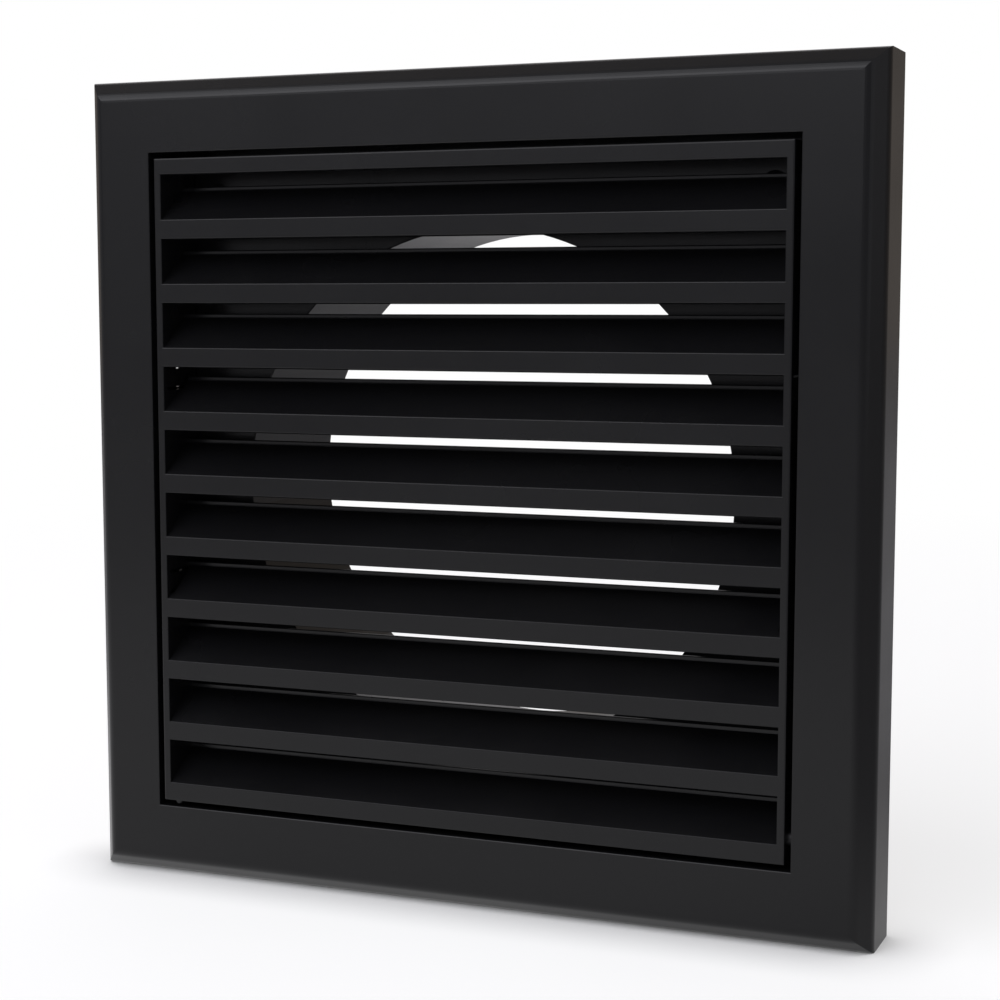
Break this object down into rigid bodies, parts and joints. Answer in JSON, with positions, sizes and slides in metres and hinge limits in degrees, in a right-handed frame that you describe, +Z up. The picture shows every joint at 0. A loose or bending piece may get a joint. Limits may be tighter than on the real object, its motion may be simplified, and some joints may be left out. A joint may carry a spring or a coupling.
{
  "type": "vent grille",
  "caption": "Square louvred vent grille whose sloping blades sit in a clip-in insert, with a round duct spigot behind its chamfered wall frame.",
  "frame": {"origin": "on the duct's axis, in the plane of the wall that the frame's back lies on", "axes": "+Y along the duct's axis into the wall, +Z up, the louvre faces -Y"},
  "size_m": [0.154, 0.046, 0.154],
  "materials": {
    "base_plastic": "black moulded plastic, fine satin grain",
    "insert_plastic": "black moulded plastic, fine satin grain"
  },
  "bodies": {
    "root": {"base_frame": "base_plastic", "louvre_insert": "insert_plastic"}
  },
  "joints": []
}
